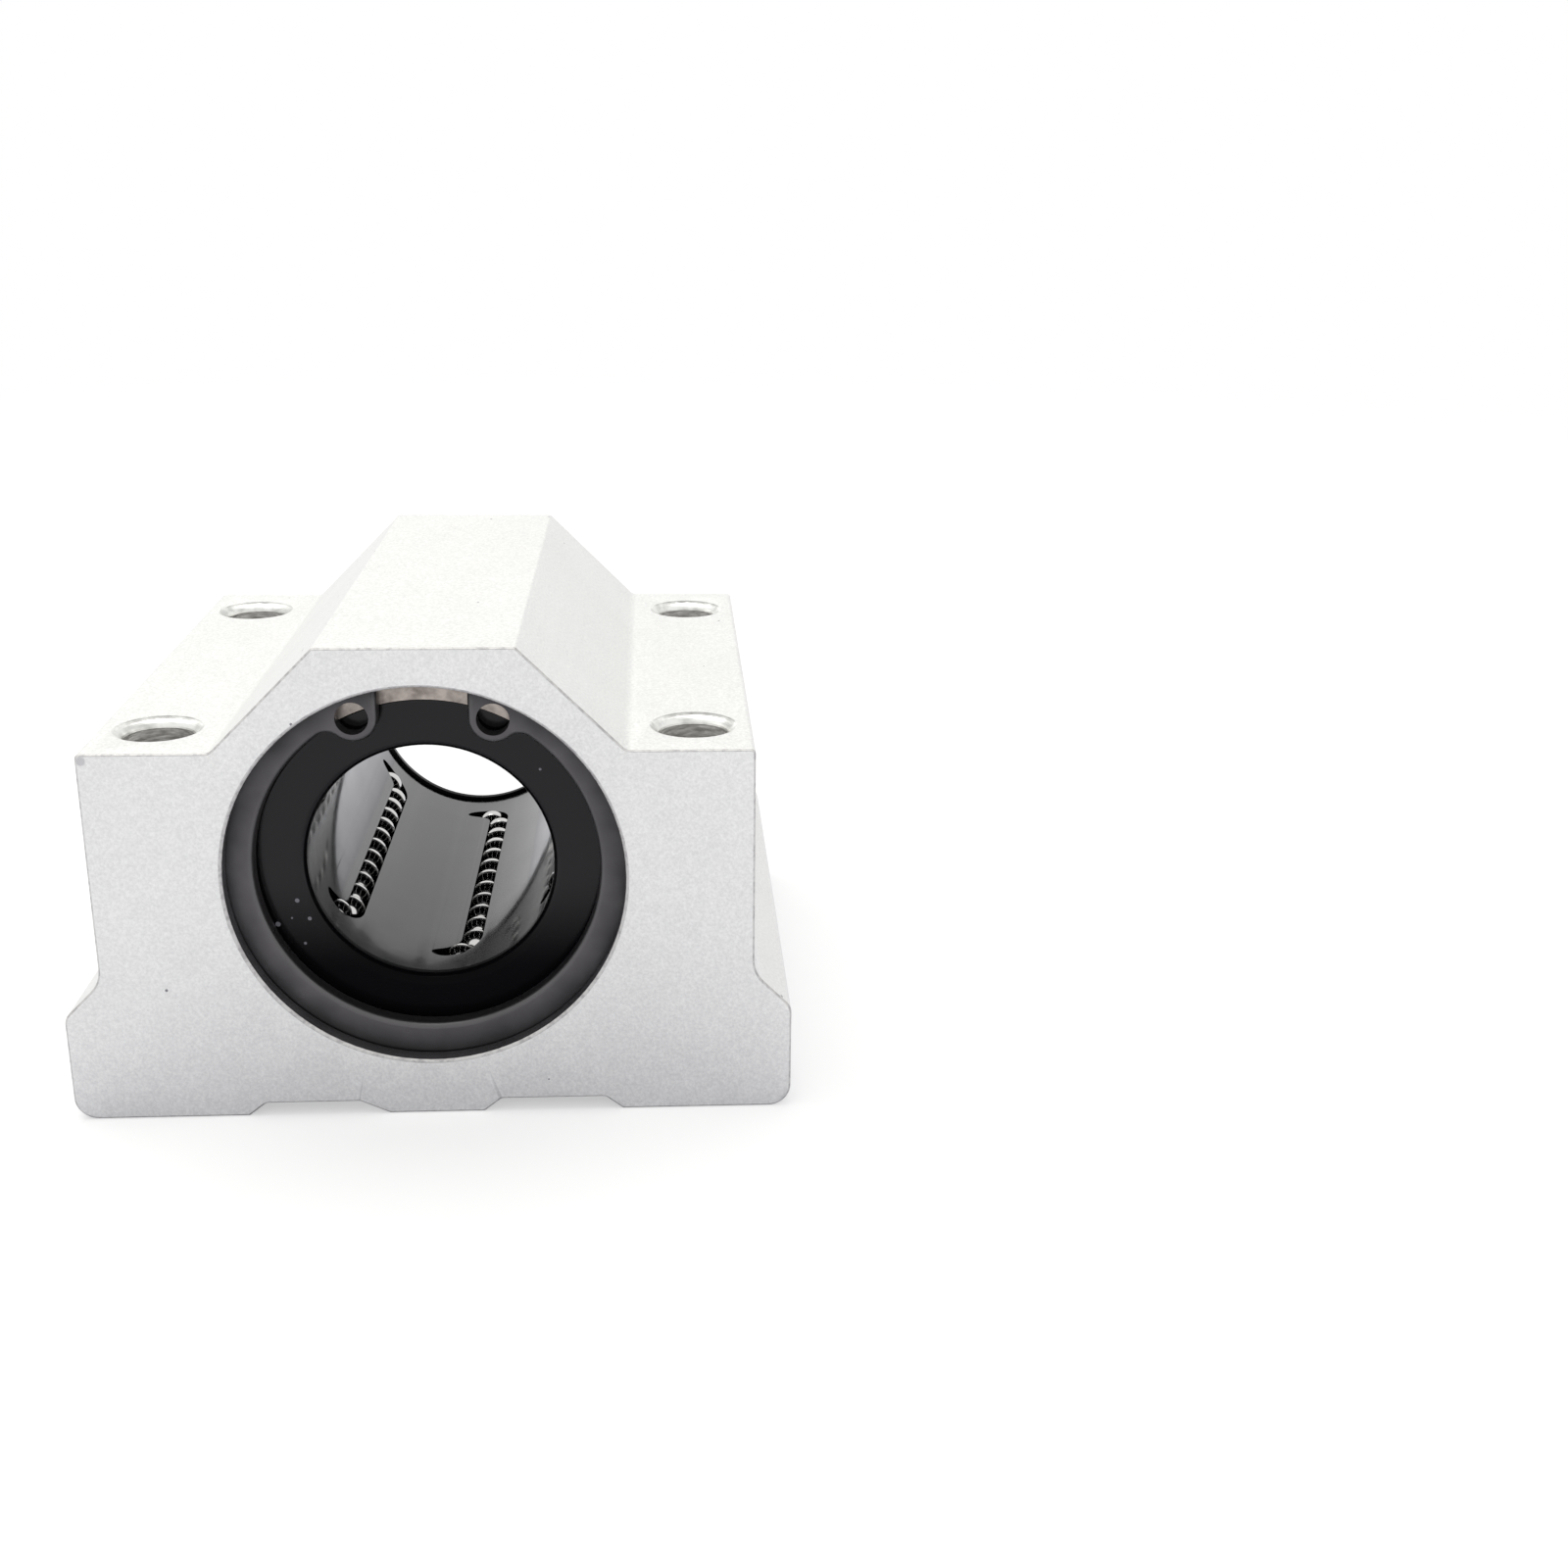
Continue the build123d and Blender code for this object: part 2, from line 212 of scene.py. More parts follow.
def broken_edge():
    """The sawn ends' broken edges, blasted: a soft line, a little uneven, darker than the faces partly as
    painted shade.
    """
    material, tree = new_material("blasted_broken_edge")
    place = add(tree, "ShaderNodeTexCoord")
    grain = add(tree, "ShaderNodeTexNoise", {}, Vector=(place, "Object"), Scale=1 / (0.7 * MM), Detail=3.0,
                Roughness=0.7)
    tone = add(tree, "ShaderNodeValToRGB", {}, Fac=(grain, "Fac"))
    stops = tone.color_ramp.elements
    stops[0].position, stops[0].color = 0.36, linear("#B6B4B4")
    stops[1].position, stops[1].color = 0.54, linear("#D2D1CF")
    bump = add(tree, "ShaderNodeBump", {}, Strength=0.3, Distance=0.1 * MM, Height=(grain, "Fac"))
    finish(tree, Base_Color=(tone, "Color"), Metallic=1.0, Roughness=0.6, Normal=(bump, "Normal"))
    return material


def bored_aluminium():
    """The bore's wall, cut to size before anodising: smooth enough to mirror the ring beside it."""
    material, tree = new_material("bored_aluminium")
    place = add(tree, "ShaderNodeTexCoord")
    # The boring tool's feed leaves lines 0.12 mm apart round the bore
    along = add(tree, "ShaderNodeMapping", {}, Vector=(place, "Object"),
                Scale=Vector((20, 1 / (0.12 * MM), 20)))
    lines = add(tree, "ShaderNodeTexNoise", {}, Vector=(along, 0), Scale=1.0, Detail=2.0)
    tone = add(tree, "ShaderNodeMix", {"data_type": "RGBA"}, Factor=(lines, "Fac"),
               i6=linear("#8F8F92"), i7=linear("#C9C9CB"))
    # A thin dark line of painted shade beside the snap ring's groove
    axes = add(tree, "ShaderNodeSeparateXYZ", {}, Vector=(place, "Object"))
    from_middle = add(tree, "ShaderNodeMath", {"operation": "ABSOLUTE"}, i0=(axes, "Y"))
    groove_shade = add(tree, "ShaderNodeMapRange", {"interpolation_type": "SMOOTHSTEP"}, Value=(from_middle, 0),
                   From_Min=LIP_START, From_Max=LIP_START + 0.35 * MM, To_Min=1.0, To_Max=0.0)
    groove_shaded = add(tree, "ShaderNodeMix", {"data_type": "RGBA"}, Factor=(groove_shade, "Result"),
                  i6=(tone, 2), i7=linear("#1E1D1D"))
    bump = add(tree, "ShaderNodeBump", {}, Strength=0.2, Distance=0.01 * MM, Height=(lines, "Fac"))
    finish(tree, Base_Color=(groove_shaded, 2), Metallic=1.0, Roughness=0.24, Normal=(bump, "Normal"))
    return material


def turned_aluminium():
    """Aluminium cut by a countersink after blasting: brighter, with fine rings that fan the light out."""
    material, tree = new_material("turned_aluminium")
    place = add(tree, "ShaderNodeTexCoord")
    # The four holes fold onto one. The way round its axis is where the tool's marks run.
    folded = add(tree, "ShaderNodeVectorMath", {"operation": "ABSOLUTE"}, i0=(place, "Object"))
    from_hole = add(tree, "ShaderNodeVectorMath", {"operation": "SUBTRACT"}, i0=(folded, 0),
                    i1=Vector((HOLE_ACROSS, HOLE_ALONG, 0)))
    corner = add(tree, "ShaderNodeVectorMath", {"operation": "SIGN"}, i0=(place, "Object"))
    unfolded = add(tree, "ShaderNodeVectorMath", {"operation": "MULTIPLY"}, i0=(from_hole, 0), i1=(corner, 0))
    level = add(tree, "ShaderNodeVectorMath", {"operation": "MULTIPLY"}, i0=(unfolded, 0),
                i1=Vector((1, 1, 0)))
    distance = add(tree, "ShaderNodeVectorMath", {"operation": "LENGTH"}, i0=(level, 0))
    way_round = add(tree, "ShaderNodeVectorMath", {"operation": "CROSS_PRODUCT"}, i0=(level, 0),
                    i1=Vector((0, 0, 1)))
    # A countersink's feed leaves rings 0.15 mm apart
    rings = add(tree, "ShaderNodeMath", {"operation": "MULTIPLY"}, i0=(distance, "Value"),
                i1=2 * math.pi / (0.15 * MM))
    wave = add(tree, "ShaderNodeMath", {"operation": "SINE"}, i0=(rings, 0))
    chatter = add(tree, "ShaderNodeTexNoise", {}, Vector=(place, "Object"), Scale=1 / (1.6 * MM), Detail=2.0)
    tone = add(tree, "ShaderNodeValToRGB", {}, Fac=(chatter, "Fac"))
    stops = tone.color_ramp.elements
    stops[0].position, stops[0].color = 0.36, linear("#CBCBC8")
    stops[1].position, stops[1].color = 0.6, linear("#F0F0ED")
    bump = add(tree, "ShaderNodeBump", {}, Strength=0.3, Distance=0.01 * MM, Height=(wave, 0))
    finish(tree, Base_Color=(tone, "Color"), Metallic=1.0, Roughness=0.34, Anisotropic=0.75,
           Tangent=(way_round, 0), Normal=(bump, "Normal"))
    return material


def drilled_aluminium():
    """The wall of a drilled hole: anodised over drill marks, mottled and duller than the outside."""
    material, tree = new_material("drilled_aluminium")
    place = add(tree, "ShaderNodeTexCoord")
    # Drill marks run round the hole about 0.3 mm apart, in patches of a millimetre or two
    squeezed = add(tree, "ShaderNodeMapping", {}, Vector=(place, "Object"),
                   Scale=Vector((0.7 / MM, 0.7 / MM, 3 / MM)))
    marks = add(tree, "ShaderNodeTexNoise", {}, Vector=(squeezed, 0), Scale=1.0, Detail=4.0)
    tone = add(tree, "ShaderNodeValToRGB", {}, Fac=(marks, "Fac"))
    stops = tone.color_ramp.elements
    stops[0].position, stops[0].color = 0.35, linear("#B4B2AF")
    stops[1].position, stops[1].color = 0.66, linear("#F4F3F1")
    bump = add(tree, "ShaderNodeBump", {}, Strength=0.6, Distance=0.06 * MM, Height=(marks, "Fac"))
    finish(tree, Base_Color=(tone, "Color"), Metallic=1.0, Roughness=0.6, Normal=(bump, "Normal"))
    return material


def ground_steel():
    """Hardened bearing steel, ground round the axis: warm grey with fine lines round it."""
    material, tree = new_material("ground_bearing_steel")
    place = add(tree, "ShaderNodeTexCoord")
    # Grinding lines 0.1 mm apart run round the bore, so the pattern changes along Y only
    along = add(tree, "ShaderNodeMapping", {}, Vector=(place, "Object"),
                Scale=Vector((30, 1 / (0.1 * MM), 30)))
    lines = add(tree, "ShaderNodeTexNoise", {}, Vector=(along, 0), Scale=1.0, Detail=2.0)
    # Quenching and oil leave the end faces mottled in patches of about a millimetre
    stain = add(tree, "ShaderNodeTexNoise", {}, Vector=(place, "Object"), Scale=1 / (1.1 * MM), Detail=3.0)
    mottle = add(tree, "ShaderNodeMix", {"data_type": "FLOAT"}, Factor=0.65, i2=(lines, "Fac"),
                 i3=(stain, "Fac"))
    tone = add(tree, "ShaderNodeValToRGB", {}, Fac=(mottle, 0))
    stops = tone.color_ramp.elements
    stops[0].position, stops[0].color = 0.36, linear("#776F69")
    stops[1].position, stops[1].color = 0.64, linear("#B5ACA3")
    bump = add(tree, "ShaderNodeBump", {}, Strength=0.3, Distance=0.01 * MM, Height=(mottle, 0))
    finish(tree, Base_Color=(tone, "Color"), Metallic=1.0, Roughness=0.36, Normal=(bump, "Normal"))
    return material


def polished_steel():
    """Lapped and polished bearing balls: bright, with sharp reflections and a breath of oil."""
    material, tree = new_material("polished_bearing_steel")
    place = add(tree, "ShaderNodeTexCoord")
    film = add(tree, "ShaderNodeTexNoise", {}, Vector=(place, "Object"), Scale=1 / (1.2 * MM), Detail=1.0)
    roughness = add(tree, "ShaderNodeMapRange", {}, Value=(film, "Fac"), From_Min=0.3, From_Max=0.7,
                    To_Min=0.06, To_Max=0.14)
    finish(tree, Base_Color=linear("#D2D1CF"), Metallic=1.0, Roughness=(roughness, "Result"))
    return material


def phosphated_steel():
    """Stamped spring steel, black phosphated and oiled: satin, with painted shade outwards and a painted
    highlight on its rolled inner edge.
    """
    material, tree = new_material("phosphated_spring_steel")
    place = add(tree, "ShaderNodeTexCoord")
    # Phosphate crystals are far too fine to show, so the grain is drawn at 0.2 mm
    crystals = add(tree, "ShaderNodeTexNoise", {}, Vector=(place, "Object"), Scale=1 / (0.2 * MM), Detail=2.0)
    film = add(tree, "ShaderNodeTexNoise", {}, Vector=(place, "Object"), Scale=1 / (4 * MM), Detail=2.0)
    # Painted shade: the ring darkens from its inner edge out to the bore's wall, where the lip shades it
    from_axis = add(tree, "ShaderNodeVectorMath", {"operation": "SUBTRACT"}, i0=(place, "Object"),
                    i1=Vector((0, 0, BORE_HEIGHT)))
    across = add(tree, "ShaderNodeVectorMath", {"operation": "MULTIPLY"}, i0=(from_axis, 0),
                 i1=Vector((1, 0, 1)))
    radius = add(tree, "ShaderNodeVectorMath", {"operation": "LENGTH"}, i0=(across, 0))
    shade_outwards = add(tree, "ShaderNodeMapRange", {}, Value=(radius, "Value"), From_Min=RING_INNER_RADIUS,
                   From_Max=RING_SEEN_RADIUS)
    patchy = add(tree, "ShaderNodeMapRange", {}, Value=(film, "Fac"), From_Min=0.3, From_Max=0.7,
                 To_Min=-0.2, To_Max=0.2)
    depth = add(tree, "ShaderNodeMath", {"operation": "ADD", "use_clamp": True}, i0=(shade_outwards, "Result"),
                i1=(patchy, "Result"))
    tone = add(tree, "ShaderNodeMix", {"data_type": "RGBA"}, Factor=(depth, 0),
               i6=linear("#5B595A"), i7=linear("#393839"))
    # Painted highlight: the rolled inner edge is painted paler, where it catches the light
    rolled = add(tree, "ShaderNodeAttribute", {"attribute_name": "rolled"})
    rolled_edge_highlight = add(tree, "ShaderNodeMix", {"data_type": "RGBA"}, Factor=(rolled, "Fac"),
                 i6=(tone, 2), i7=linear("#5F5E5F"))
    roughness = add(tree, "ShaderNodeMapRange", {}, Value=(film, "Fac"), From_Min=0.3, From_Max=0.7,
                    To_Min=0.26, To_Max=0.38)
    bump = add(tree, "ShaderNodeBump", {}, Strength=0.25, Distance=0.02 * MM, Height=(crystals, "Fac"))
    finish(tree, Base_Color=(rolled_edge_highlight, 2), Metallic=0.85, Roughness=(roughness, "Result"),
           Normal=(bump, "Normal"))
    return material


def nitrile_rubber():
    """Moulded nitrile rubber: black, satin where the mould was fine, a little dust, painted glints and shade.
    """
    material, tree = new_material("moulded_nitrile_rubber")
    place = add(tree, "ShaderNodeTexCoord")
    skin = add(tree, "ShaderNodeTexNoise", {}, Vector=(place, "Object"), Scale=1 / (0.3 * MM), Detail=2.0)
    # Specks of up to 0.65 mm, partly dust and partly painted glints, lie thickest at the lower left of the
    # front seal
    flat = add(tree, "ShaderNodeMapping", {}, Vector=(place, "Object"),
               Scale=Vector((1 / (1.3 * MM), 0, 1 / (1.3 * MM))))
    dust = add(tree, "ShaderNodeTexVoronoi", {}, Vector=(flat, 0), Scale=1.0)
    chosen = add(tree, "ShaderNodeSeparateColor", {}, Color=(dust, "Color"))
    away = add(tree, "ShaderNodeVectorMath", {"operation": "DISTANCE"}, i0=(place, "Object"), i1=DUST_GLINT_PLACE)
    rarity = add(tree, "ShaderNodeMapRange", {}, Value=(away, "Value"), From_Min=DUST_GLINT_THICK,
                 From_Max=DUST_GLINT_GONE, To_Min=0.3, To_Max=0.99)
    size = add(tree, "ShaderNodeMapRange", {}, Value=(chosen, "Green"), From_Min=(rarity, "Result"),
               From_Max=1.0, To_Min=0.0, To_Max=0.25)
    speck = add(tree, "ShaderNodeMath", {"operation": "LESS_THAN"}, i0=(dust, "Distance"),
                i1=(size, "Result"))
    tone = add(tree, "ShaderNodeMix", {"data_type": "RGBA"}, Factor=(speck, 0),
               i6=linear("#08080A"), i7=linear("#6E6E74"))
    # The seal mirrors less towards its bottom: painted shade, fitted to its tones in the photograph,
    # and not a known property of such a seal.
    axes = add(tree, "ShaderNodeSeparateXYZ", {}, Vector=(place, "Object"))
    gloss = add(tree, "ShaderNodeMapRange", {"interpolation_type": "SMOOTHSTEP"}, Value=(axes, "Z"),
                From_Min=SEAL_SHADED_HEIGHT, From_Max=SEAL_UNSHADED_HEIGHT, To_Min=0.03, To_Max=0.285)
    bump = add(tree, "ShaderNodeBump", {}, Strength=0.15, Distance=0.01 * MM, Height=(skin, "Fac"))
    finish(tree, Base_Color=(tone, 2), Roughness=0.17, IOR=1.5, Specular_IOR_Level=(gloss, "Result"),
           Normal=(bump, "Normal"))
    return material


def acetal_resin():
    """Injection moulded acetal, black and glossy, with the slight swirl of a polished mould."""
    material, tree = new_material("moulded_black_acetal")
    place = add(tree, "ShaderNodeTexCoord")
    swirl = add(tree, "ShaderNodeTexNoise", {}, Vector=(place, "Object"), Scale=1 / (6 * MM), Detail=2.0)
    roughness = add(tree, "ShaderNodeMapRange", {}, Value=(swirl, "Fac"), From_Min=0.3, From_Max=0.7,
                    To_Min=0.1, To_Max=0.18)
    bump = add(tree, "ShaderNodeBump", {}, Strength=0.25, Distance=0.08 * MM, Height=(swirl, "Fac"))
    # A film of oil lies on the cage, so it takes a coat over its own gloss
    finish(tree, Base_Color=linear("#0C0C0D"), Roughness=(roughness, "Result"), IOR=1.48, Coat_Weight=0.3,
           Coat_Roughness=0.05, Coat_IOR=1.47, Normal=(bump, "Normal"))
    return material


def rolled_wire():
    """Spring wire rolled flat: plain bright steel with faint drawing lines."""
    material, tree = new_material("rolled_spring_wire")
    place = add(tree, "ShaderNodeTexCoord")
    lines = add(tree, "ShaderNodeTexNoise", {}, Vector=(place, "Object"), Scale=1 / (0.4 * MM), Detail=3.0)
    roughness = add(tree, "ShaderNodeMapRange", {}, Value=(lines, "Fac"), From_Min=0.3, From_Max=0.7,
                    To_Min=0.25, To_Max=0.4)
    finish(tree, Base_Color=linear("#A6A7A9"), Metallic=1.0, Roughness=(roughness, "Result"))
    return material


def place_piece(piece, slot_name, *cad_names):
    """Puts a finished piece on the block and hides the CAD pieces that it stands for. The slot name is not
    used.
    """
    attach(piece, "root")
    if cad_names:
        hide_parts(*cad_names)
    return piece


def joined_mesh(cad_name):
    """A copy of a CAD piece's mesh with its loose triangles joined."""
    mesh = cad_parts[cad_name].data.copy()
    shape = bmesh.new()
    shape.from_mesh(mesh)
    bmesh.ops.remove_doubles(shape, verts=shape.verts, dist=SAME_POINT)
    bmesh.ops.dissolve_degenerate(shape, edges=shape.edges, dist=NO_LENGTH)
    shape.to_mesh(mesh)
    shape.free()
    return mesh


def aimed_at_axis(normal, face_normal, place):
    """A round face's normal, turned straight towards or away from the axis of the hole that it is on."""
    for centre, along, reach in ROUND_AXES:
        arm = place - centre
        arm -= arm.dot(along) * along
        flat = face_normal - face_normal.dot(along) * along
        if ON_AXIS < arm.length < reach and flat.length > END_FACE:
            out = arm.normalized()
            if abs(flat.normalized().dot(out)) > NEARLY_ROUND:
                lean = normal.dot(along)
                if flat.length > STRAIGHT_WALL:
                    lean = 0
                elif flat.length < SHALLOW_CONE:
                    lean = face_normal.dot(along)
                return lean * along + math.copysign(math.sqrt(1 - lean * lean), flat.dot(out)) * out
    return normal


def smooth_piece(cad_name, material, slot_name, turned=True):
    """The CAD piece with its curves shaded smooth and its flats kept flat."""
    mesh = joined_mesh(cad_name)
    mesh.materials.clear()
    mesh.materials.append(material)
    mesh.shade_smooth()
    mesh.set_sharp_from_angle(angle=SHARP_ANGLE)
    draft = bpy.data.objects.new("draft", mesh)
    bpy.context.scene.collection.objects.link(draft)
    weighted = draft.modifiers.new("flats stay flat", "WEIGHTED_NORMAL")
    weighted.keep_sharp = True
    bpy.context.view_layer.update()
    shaded = bpy.data.meshes.new_from_object(draft.evaluated_get(bpy.context.evaluated_depsgraph_get()))
    bpy.data.objects.remove(draft)
    shaded.name = cad_name + "_surface"
    if turned:
        normals = [corner.vector.copy() for corner in shaded.corner_normals]
        for face in shaded.polygons:
            for corner, vertex in zip(face.loop_indices, face.vertices):
                normals[corner] = aimed_at_axis(normals[corner], face.normal, shaded.vertices[vertex].co)
        shaded.normals_split_custom_set(normals)
    piece = bpy.data.objects.new(cad_name + "_surface", shaded)
    bpy.context.scene.collection.objects.link(piece)
    return place_piece(piece, slot_name, cad_name)


def cut_finish(face):
    """Which of the housing's finishes a face takes: 0 blasted, 1 turned, 2 drilled, 3 edge, 4 bored."""
    middle = face.center
    from_hole = Vector((abs(middle.x) - HOLE_ACROSS, abs(middle.y) - HOLE_ALONG)).length
    if from_hole < COUNTERSINK_RADIUS and OFF_LEVEL < middle.z < SHOULDER_HEIGHT - OFF_LEVEL:
        return 1 if middle.z > SHOULDER_HEIGHT - COUNTERSINK_DEPTH else 2
    from_end = HALF_LENGTH - abs(middle.y)
    if from_end < EDGE_BREAK and abs(face.normal.y) < FACES_END:
        return 3
    if math.hypot(middle.x, middle.z - BORE_HEIGHT) < GROOVE_RADIUS and from_end > OFF_END:
        return 4
    return 0


def mark_cut_faces(piece, *finishes):
    """Gives the housing's countersinks, holes, end edges and bore their own finishes."""
    for material in finishes:
        piece.data.materials.append(material)
    for face in piece.data.polygons:
        face.material_index = cut_finish(face)


def mark_rolled_edge(ring):
    """Writes how far a snap ring's outline is rolled over: 0 on flats and walls, 1 halfway between."""
    rolled = ring.data.attributes.new("rolled", "FLOAT", "CORNER")
    for value, corner in zip(rolled.data, ring.data.corner_normals):
        lean = abs(corner.vector.y)
        value.value = min(1.0, 6 * lean * (1 - lean)) if lean > ROLL_START else 0.0


def tree_with_inputs(name, inputs):
    """A Geometry Nodes tree with a geometry in and out and the named inputs, and its input node."""
    tree = bpy.data.node_groups.new(name, "GeometryNodeTree")
    tree.interface.new_socket("Geometry", in_out="INPUT", socket_type="NodeSocketGeometry")
    for label, kind in inputs.items():
        tree.interface.new_socket(label, in_out="INPUT", socket_type=kind)
    tree.interface.new_socket("Geometry", in_out="OUTPUT", socket_type="NodeSocketGeometry")
    return tree, tree.nodes.new("NodeGroupInput")


def built_by(tree, name, start_mesh, values):
    """An object holding the plain mesh that a tree builds from a start mesh and its inputs."""
    seed = bpy.data.objects.new(name + "_start", start_mesh)
    bpy.context.scene.collection.objects.link(seed)
    modifier = seed.modifiers.new(name, "NODES")
    modifier.node_group = tree
    for socket in tree.interface.items_tree:
        if socket.in_out == "INPUT" and socket.name in values:
            modifier[socket.identifier] = values[socket.name]
    bpy.context.view_layer.update()
    mesh = bpy.data.meshes.new_from_object(seed.evaluated_get(bpy.context.evaluated_depsgraph_get()))
    mesh.name = name
    bpy.data.objects.remove(seed)
    piece = bpy.data.objects.new(name, mesh)
    bpy.context.scene.collection.objects.link(piece)
    return piece


def ball_tree():
    """A smooth ball at every point of the start mesh."""
    tree, given = tree_with_inputs("balls_at_points", {"Ball Radius": "NodeSocketFloat",
                                                       "Surface": "NodeSocketMaterial"})
    ball = add(tree, "GeometryNodeMeshIcoSphere", {}, Radius=(given, "Ball Radius"), Subdivisions=4)
    smooth = add(tree, "GeometryNodeSetShadeSmooth", {}, Geometry=(ball, "Mesh"))
    balls = add(tree, "GeometryNodeInstanceOnPoints", {}, Points=(given, "Geometry"), Instance=(smooth, 0))
    real = add(tree, "GeometryNodeRealizeInstances", {}, Geometry=(balls, 0))
    surfaced = add(tree, "GeometryNodeSetMaterial", {}, Geometry=(real, 0), Material=(given, "Surface"))
    add(tree, "NodeGroupOutput", {}, Geometry=(surfaced, 0))
    return tree


def ball_centres(cad_name):
    """The middles of the separate balls in a CAD piece, as a mesh of points."""
    shape = bmesh.new()
    shape.from_mesh(joined_mesh(cad_name))
    waiting = set(shape.verts)
    centres = []
    while waiting:
        front = [waiting.pop()]
        ball = list(front)
        while front:
            for edge in front.pop().link_edges:
                for vert in edge.verts:
                    if vert in waiting:
                        waiting.discard(vert)
                        front.append(vert)
                        ball.append(vert)
        low = Vector(min(v.co[i] for v in ball) for i in range(3))
        high = Vector(max(v.co[i] for v in ball) for i in range(3))
        centres.append((low + high) / 2)
    shape.free()
    centres.sort(key=lambda c: (round(c.y, 6), round(c.x, 6), round(c.z, 6)))
    points = bpy.data.meshes.new(cad_name + "_centres")
    points.from_pydata(centres, [], [])
    return points


def thread_tree():
    """A right-hand thread standing in from the hole's wall at every point of the start mesh."""
    tree, given = tree_with_inputs("tapped_thread", {
        "Outer Radius": "NodeSocketFloat", "Crest Radius": "NodeSocketFloat", "Pitch": "NodeSocketFloat",
        "Length": "NodeSocketFloat", "Surface": "NodeSocketMaterial"})
    turns = add(tree, "ShaderNodeMath", {"operation": "DIVIDE"}, i0=(given, "Length"), i1=(given, "Pitch"))
    helix = add(tree, "GeometryNodeCurveSpiral", {}, Resolution=40, Rotations=(turns, 0),
                Start_Radius=(given, "Outer Radius"), End_Radius=(given, "Outer Radius"),
                Height=(given, "Length"))
    upright = add(tree, "GeometryNodeSetCurveNormal", {"mode": "Z_UP"}, Curve=(helix, 0))
    depth = add(tree, "ShaderNodeMath", {"operation": "SUBTRACT"}, i0=(given, "Outer Radius"),
                i1=(given, "Crest Radius"))
    foot = add(tree, "ShaderNodeMath", {"operation": "MULTIPLY"}, i0=(given, "Pitch"), i1=THREAD_FOOT_WIDTH)
    crest = add(tree, "ShaderNodeMath", {"operation": "MULTIPLY"}, i0=(given, "Pitch"), i1=THREAD_CREST_WIDTH)
    profile = add(tree, "GeometryNodeCurvePrimitiveQuadrilateral", {"mode": "TRAPEZOID"},
                  Bottom_Width=(foot, 0), Top_Width=(crest, 0), Height=(depth, 0), Offset=0)
    ridge = add(tree, "GeometryNodeCurveToMesh", {}, Curve=(upright, 0), Profile_Curve=(profile, 0),
                Fill_Caps=True)
    rows = add(tree, "GeometryNodeInstanceOnPoints", {}, Points=(given, "Geometry"), Instance=(ridge, 0))
    real = add(tree, "GeometryNodeRealizeInstances", {}, Geometry=(rows, 0))
    surfaced = add(tree, "GeometryNodeSetMaterial", {}, Geometry=(real, 0), Material=(given, "Surface"))
    add(tree, "NodeGroupOutput", {}, Geometry=(surfaced, 0))
    return tree


def pale_floor():
    """A pale floor that keeps the shadow."""
    material, tree = new_material("pale_floor")
    place = add(tree, "ShaderNodeTexCoord")
    level = add(tree, "ShaderNodeVectorMath", {"operation": "LENGTH"}, i0=(place, "Object"))
    far = add(tree, "ShaderNodeMapRange", {"interpolation_type": "SMOOTHSTEP"}, Value=(level, "Value"),
              From_Min=FADE_START, From_Max=FADE_END, To_Min=0.45)
    # The light that the floor bounces is made weaker close to the block, so that the block's front darkens
    # towards its base as in the photograph
    near = add(tree, "ShaderNodeMapRange", {"interpolation_type": "SMOOTHSTEP"}, Value=(level, "Value"),
               From_Min=BOUNCE_START, From_Max=BOUNCE_END)
    bounced = add(tree, "ShaderNodeMix", {"data_type": "RGBA"}, Factor=(near, "Result"),
                  i6=linear("#C8C8CF"), i7=linear("#EAEAEF"))
    rays = add(tree, "ShaderNodeLightPath")
    tone = add(tree, "ShaderNodeMix", {"data_type": "RGBA"}, Factor=(rays, "Is Camera Ray"),
               i6=(bounced, 2), i7=linear("#FAFAFA"))
    pale = add(tree, "ShaderNodeBsdfDiffuse", {}, Color=(tone, 2))
    white = add(tree, "ShaderNodeEmission", {}, Color=linear("#FFFFFF"), Strength=1.0)
    seen = add(tree, "ShaderNodeMath", {"operation": "MULTIPLY"}, i0=(rays, "Is Camera Ray"),
               i1=(far, "Result"))
    mixed = add(tree, "ShaderNodeMixShader", {}, i0=(seen, 0), i1=(pale, 0), i2=(white, 0))
    add(tree, "ShaderNodeOutputMaterial", None, Surface=(mixed, 0))
    mesh = bpy.data.meshes.new("floor")
    corners = [(x * FLOOR_HALF, y * FLOOR_HALF, -FLOOR_DROP) for x, y in ((-1, -1), (1, -1), (1, 1), (-1, 1))]
    mesh.from_pydata(corners, [], [(0, 1, 2, 3)])
    mesh.materials.append(material)
    floor = bpy.data.objects.new("floor", mesh)
    bpy.context.scene.collection.objects.link(floor)


def white_surround():
    """An even white studio all round. It is full white where the camera or a mirror sees it."""
    world = bpy.data.worlds.new("studio")
    world.use_nodes = True
    tree = world.node_tree
    tree.nodes.clear()
    rays = add(tree, "ShaderNodeLightPath")
    seen = add(tree, "ShaderNodeMath", {"operation": "MAXIMUM"}, i0=(rays, "Is Camera Ray"),
               i1=(rays, "Is Glossy Ray"))
    lit = add(tree, "ShaderNodeBackground", {}, Color=linear("#FFFFFF"), Strength=0.95)
    shown = add(tree, "ShaderNodeBackground", {}, Color=linear("#FFFFFF"), Strength=1.0)
    mixed = add(tree, "ShaderNodeMixShader", {}, i0=(seen, 0), i1=(lit, 0), i2=(shown, 0))
    add(tree, "ShaderNodeOutputWorld", None, Surface=(mixed, 0))
    bpy.context.scene.world = world


